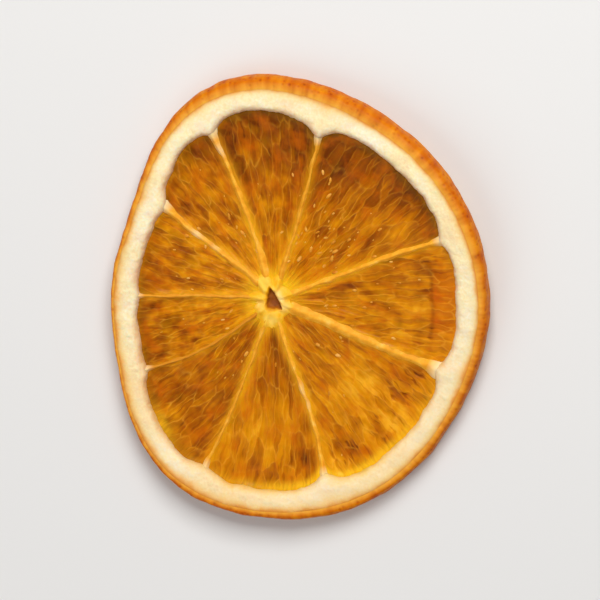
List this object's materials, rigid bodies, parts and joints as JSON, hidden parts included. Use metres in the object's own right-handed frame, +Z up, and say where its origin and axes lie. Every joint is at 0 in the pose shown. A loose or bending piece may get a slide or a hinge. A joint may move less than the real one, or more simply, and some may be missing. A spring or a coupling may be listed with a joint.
{
  "type": "dried orange slice",
  "caption": "Round slice of dried orange with its peel, white pith and sunken amber segments, lying flat; for garnish, potpourri or decoration.",
  "frame": {"origin": "centre of the slice's bounding box in X and Y, at the height of the table it lies on", "axes": "+Z up out of the shown cut face, +Y along the slice's longest way across, which is up in the picture"},
  "size_m": [0.0522, 0.0614, 0.006],
  "materials": {
    "dried_pulp": "glassy and amber, with darker streaks, between pale membranes",
    "dried_pith": "matt and spongy, cream",
    "dried_peel": "waxy, finely pored, orange"
  },
  "bodies": {
    "root": {"orange_slice": "dried_pulp"}
  },
  "joints": []
}
